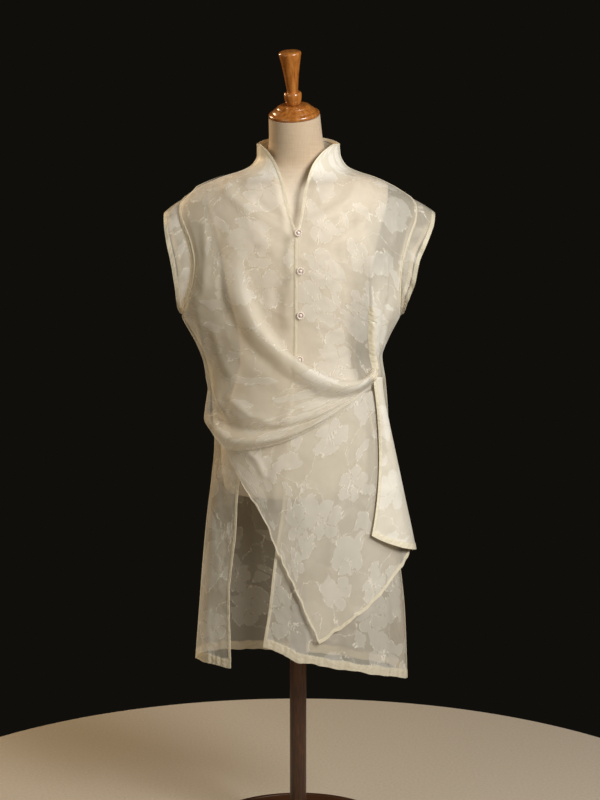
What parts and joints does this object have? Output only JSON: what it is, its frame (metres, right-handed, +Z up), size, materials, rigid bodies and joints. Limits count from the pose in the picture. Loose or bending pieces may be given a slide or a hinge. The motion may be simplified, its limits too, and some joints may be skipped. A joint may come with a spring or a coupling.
{
  "type": "kebaya blouse on dress form",
  "caption": "Sleeveless-cap kebaya blouse in sheer cream cloth with a draped, side-tied front and pointed flap, worn on a limbless dress form with a round stand.",
  "frame": {"origin": "centre of the stand's underside, on the floor", "axes": "+Z up along the pole, -Y out of the front, +X to the wearer's left"},
  "size_m": [0.5526, 0.4, 1.6519],
  "materials": {
    "cream_organza": "sheer with satin jacquard",
    "linen_cover": "matt linen",
    "varnished_beech": "satin varnish",
    "rose_silver": "bright, with a pale stone",
    "dark_wood": "satin stain"
  },
  "bodies": {
    "root": {"back": "cream_organza", "front_right": "cream_organza", "front_left": "cream_organza", "sleeve_right": "cream_organza", "sleeve_left": "cream_organza", "drape_cowl": "cream_organza", "drape_flap": "cream_organza", "drape_tail": "cream_organza", "knot": "cream_organza", "button_1": "rose_silver", "button_2": "rose_silver", "button_3": "rose_silver", "button_4": "rose_silver", "form_torso": "linen_cover", "neck_cap": "varnished_beech", "finial": "varnished_beech", "pole": "dark_wood", "base": "dark_wood"}
  },
  "joints": []
}
